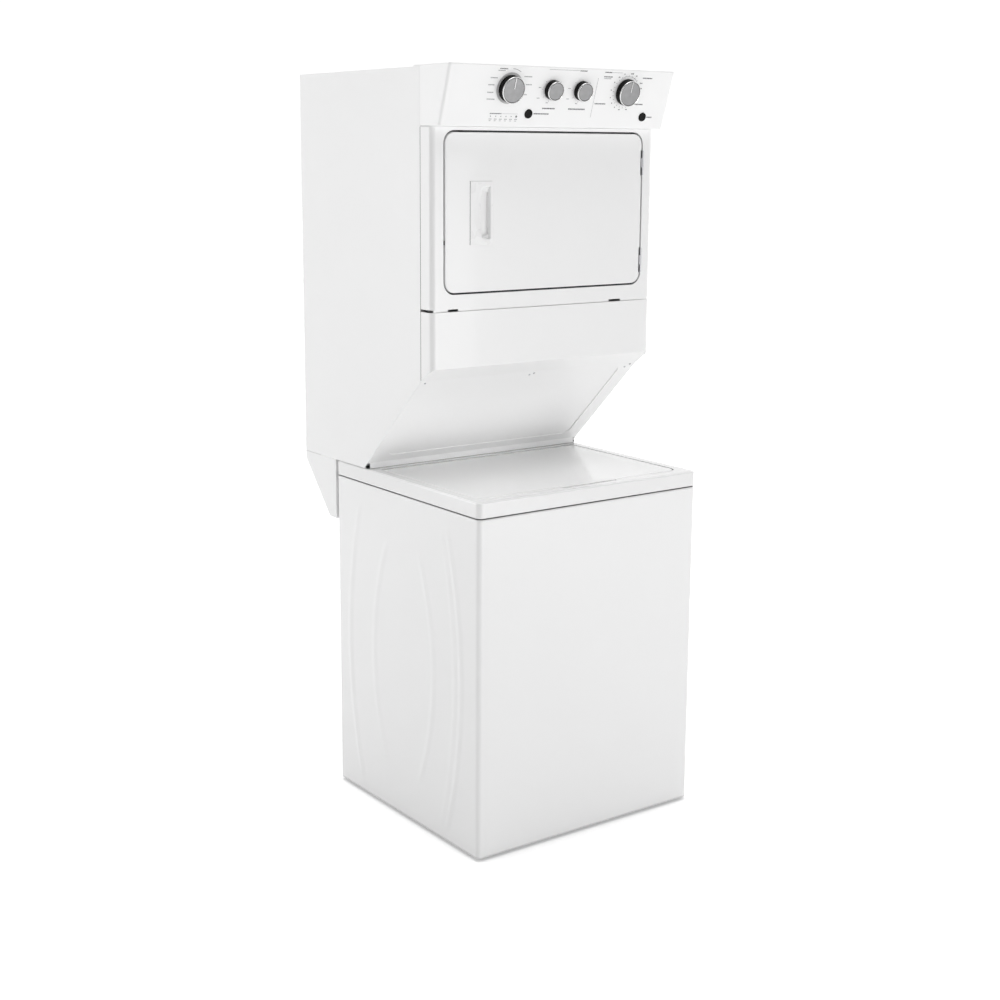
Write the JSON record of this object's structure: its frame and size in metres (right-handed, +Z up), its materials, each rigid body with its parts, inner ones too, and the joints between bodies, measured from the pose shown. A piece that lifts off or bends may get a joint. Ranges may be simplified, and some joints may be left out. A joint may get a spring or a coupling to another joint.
{
  "type": "stacked washer and dryer",
  "caption": "Stacked laundry centre: a top-loading washer with a lift lid below a front-loading dryer with a side-hinged door and a tilted control console.",
  "frame": {"origin": "bottom centre of the whole machine's bounding box, on the floor", "axes": "+Z up, +X to the user's right when facing the machine, the front faces -Y"},
  "size_m": [0.6922, 0.8238, 1.9177],
  "materials": {
    "white_enamel": "glossy white enamel",
    "lid_enamel": "very glossy white enamel",
    "galvanized_sheet": "dull zinc-coated sheet",
    "inner_door_white": "satin white",
    "drum_coating": "satin white powder coat",
    "basket_steel": "brushed stainless",
    "console_plastic": "smooth light grey-white",
    "handle_plastic": "smooth white",
    "knob_plastic": "black skirt with metal-look face",
    "button_plastic": "smooth light grey",
    "tub_plastic": "natural polypropylene",
    "agitator_plastic": "smooth blue-grey",
    "motor_casting": "cast and laminated metal",
    "steel_parts": "machined steel",
    "rod_steel": "zinc plated steel",
    "belt_rubber": "matt black",
    "seal_rubber": "grey felt and rubber",
    "foot_rubber": "matt black",
    "grey_plastic": "moulded grey plastic",
    "valve_plastic": "ivory nylon",
    "fastener_steel": "zinc plated steel"
  },
  "bodies": {
    "cabinet": {"access_panel": "white_enamel", "blower_housing": "galvanized_sheet", "console_panel": "console_plastic", "door_hinge_pins": "fastener_steel", "drain_pump": "grey_plastic", "drum_belt": "belt_rubber", "dryer_back_panel": "galvanized_sheet", "dryer_base_pan": "galvanized_sheet", "dryer_front_panel": "white_enamel", "dryer_motor": "motor_casting", "dryer_side_left": "white_enamel", "dryer_side_right": "white_enamel", "dryer_top_panel": "white_enamel", "exhaust_duct": "galvanized_sheet", "front_bulkhead": "galvanized_sheet", "gearcase": "motor_casting", "heater_box": "galvanized_sheet", "inlet_valve": "valve_plastic", "outer_tub": "tub_plastic", "panel_screws": "fastener_steel", "rear_access_panel": "galvanized_sheet", "rear_bulkhead": "galvanized_sheet", "rear_feet": "foot_rubber", "rear_supports": "white_enamel", "sloped_panel": "white_enamel", "suspension_rods": "rod_steel", "terminal_block": "grey_plastic", "tub_ring": "tub_plastic", "washer_base": "galvanized_sheet", "washer_belt": "belt_rubber", "washer_cabinet": "white_enamel", "washer_deck": "lid_enamel", "washer_motor": "motor_casting"},
    "dryer_door": {"door_outer": "white_enamel", "door_inner": "inner_door_white", "door_seal": "seal_rubber", "door_handle": "handle_plastic", "door_hinge_leaves": "fastener_steel"},
    "lid": {"washer_lid": "lid_enamel"},
    "washer_cycle_dial": {"washer_cycle_knob": "knob_plastic"},
    "left_option_dial": {"left_option_knob": "knob_plastic"},
    "right_option_dial": {"right_option_knob": "knob_plastic"},
    "dryer_timer_dial": {"dryer_timer_knob": "knob_plastic"},
    "washer_start": {"washer_start_button": "button_plastic"},
    "dryer_start": {"dryer_start_button": "button_plastic"},
    "lint_filter": {"lint_screen": "grey_plastic"},
    "basket": {"wash_basket": "basket_steel", "balance_ring": "tub_plastic"},
    "agitator_drive": {"agitator": "agitator_plastic", "drive_pulley": "steel_parts"},
    "washer_motor_rotor": {"washer_motor_pulley": "steel_parts"},
    "drum": {"dryer_drum": "drum_coating", "drum_baffles": "drum_coating"},
    "roller_left": {"drum_roller_left": "grey_plastic"},
    "roller_right": {"drum_roller_right": "grey_plastic"},
    "idler": {"idler_pulley": "grey_plastic"},
    "dryer_motor_rotor": {"dryer_motor_shaft": "steel_parts", "blower_wheel": "grey_plastic"},
    "foot_left": {"levelling_foot_left": "foot_rubber"},
    "foot_right": {"levelling_foot_right": "foot_rubber"}
  },
  "joints": [
    {"name": "door_swing", "type": "hinge", "parent": "cabinet", "child": "dryer_door", "pos_m": [0.3098, -0.216, 1.571], "axis": [0, 0, 1], "range_deg": [0, 150]},
    {"name": "deck_lid_swing", "type": "hinge", "parent": "cabinet", "child": "lid", "pos_m": [0, 0.052, 0.893], "axis": [-1, 0, 0], "range_deg": [0, 40]},
    {"name": "knob_washer_cycle_turn", "type": "hinge", "parent": "cabinet", "child": "washer_cycle_dial", "pos_m": [-0.163, -0.27485, 1.86446], "axis": [0, -0.9518, -0.3068], "continuous": true},
    {"name": "knob_left_option_turn", "type": "hinge", "parent": "cabinet", "child": "left_option_dial", "pos_m": [-0.035, -0.27485, 1.86446], "axis": [0, -0.9518, -0.3068], "range_deg": [-60, 60]},
    {"name": "knob_right_option_turn", "type": "hinge", "parent": "cabinet", "child": "right_option_dial", "pos_m": [0.056, -0.27485, 1.86446], "axis": [0, -0.9518, -0.3068], "range_deg": [-60, 60]},
    {"name": "knob_dryer_timer_turn", "type": "hinge", "parent": "cabinet", "child": "dryer_timer_dial", "pos_m": [0.198, -0.27485, 1.86446], "axis": [0, -0.9518, -0.3068], "continuous": true},
    {"name": "press_washer_start", "type": "slide", "parent": "cabinet", "child": "washer_start", "axis": [0, 0.9518, 0.3068], "range_m": [0, 0.0025], "stiffness_N_per_m": 800},
    {"name": "press_dryer_start", "type": "slide", "parent": "cabinet", "child": "dryer_start", "axis": [0, 0.9518, 0.3068], "range_m": [0, 0.0025], "stiffness_N_per_m": 800},
    {"name": "lint_screen_lift", "type": "slide", "parent": "cabinet", "child": "lint_filter", "axis": [0, 0, 1], "range_m": [0, 0.19]},
    {"name": "spin_basket", "type": "hinge", "parent": "cabinet", "child": "basket", "pos_m": [0, -0.08195, 0.5], "axis": [0, 0, 1], "continuous": true},
    {"name": "spin_agitator", "type": "hinge", "parent": "cabinet", "child": "agitator_drive", "pos_m": [0, -0.08195, 0.5], "axis": [0, 0, 1], "continuous": true},
    {"name": "spin_washer_motor", "type": "hinge", "parent": "cabinet", "child": "washer_motor_rotor", "pos_m": [0.178, -0.08195, 0.12], "axis": [0, 0, 1], "continuous": true},
    {"name": "spin_drum", "type": "hinge", "parent": "cabinet", "child": "drum", "pos_m": [0, 0, 1.562], "axis": [0, 1, 0], "continuous": true},
    {"name": "spin_roller_left", "type": "hinge", "parent": "cabinet", "child": "roller_left", "pos_m": [-0.19117, 0, 1.28898], "axis": [0, 1, 0], "continuous": true},
    {"name": "spin_roller_right", "type": "hinge", "parent": "cabinet", "child": "roller_right", "pos_m": [0.19117, 0, 1.28898], "axis": [0, 1, 0], "continuous": true},
    {"name": "spin_idler", "type": "hinge", "parent": "cabinet", "child": "idler", "pos_m": [-0.046, 0, 1.16], "axis": [0, 1, 0], "continuous": true},
    {"name": "spin_dryer_motor", "type": "hinge", "parent": "cabinet", "child": "dryer_motor_rotor", "pos_m": [0.07, 0, 1.138], "axis": [0, 1, 0], "continuous": true},
    {"name": "turn_foot_left", "type": "hinge", "parent": "cabinet", "child": "foot_left", "pos_m": [-0.305, -0.37395, 0.02], "axis": [0, 0, 1], "continuous": true},
    {"name": "turn_foot_right", "type": "hinge", "parent": "cabinet", "child": "foot_right", "pos_m": [0.305, -0.37395, 0.02], "axis": [0, 0, 1], "continuous": true}
  ],
  "couplings": [
    {"joint": "spin_washer_motor", "follows": "spin_agitator", "ratio": 5},
    {"joint": "spin_roller_left", "follows": "spin_drum", "ratio": -9.0909},
    {"joint": "spin_roller_right", "follows": "spin_drum", "ratio": -9.0909},
    {"joint": "spin_idler", "follows": "spin_drum", "ratio": 10.714},
    {"joint": "spin_dryer_motor", "follows": "spin_drum", "ratio": 25}
  ]
}
